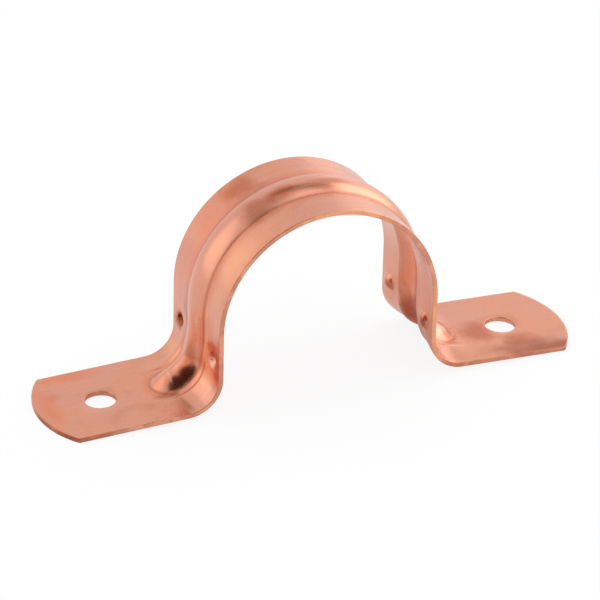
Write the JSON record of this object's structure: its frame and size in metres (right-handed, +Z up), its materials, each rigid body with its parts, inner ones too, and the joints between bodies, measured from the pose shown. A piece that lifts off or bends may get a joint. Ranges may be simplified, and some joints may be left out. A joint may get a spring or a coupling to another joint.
{
  "type": "pipe clip",
  "caption": "Saddle clip folded from copper strip: a round arch with a stiffening bead and tube-gripping dimples, and flat feet with screw holes, for fixing a tube to a wall.",
  "frame": {"origin": "midway between the feet and between the two edges of the strip, level with the tips of the feet", "axes": "+X from foot to foot, +Y along the tube, +Z up, away from the wall that the feet are screwed to"},
  "size_m": [0.058, 0.0126, 0.0218],
  "materials": {
    "copper": "satin copper with fine rolling marks along the strip"
  },
  "bodies": {
    "root": {"strap": "copper"}
  },
  "joints": []
}
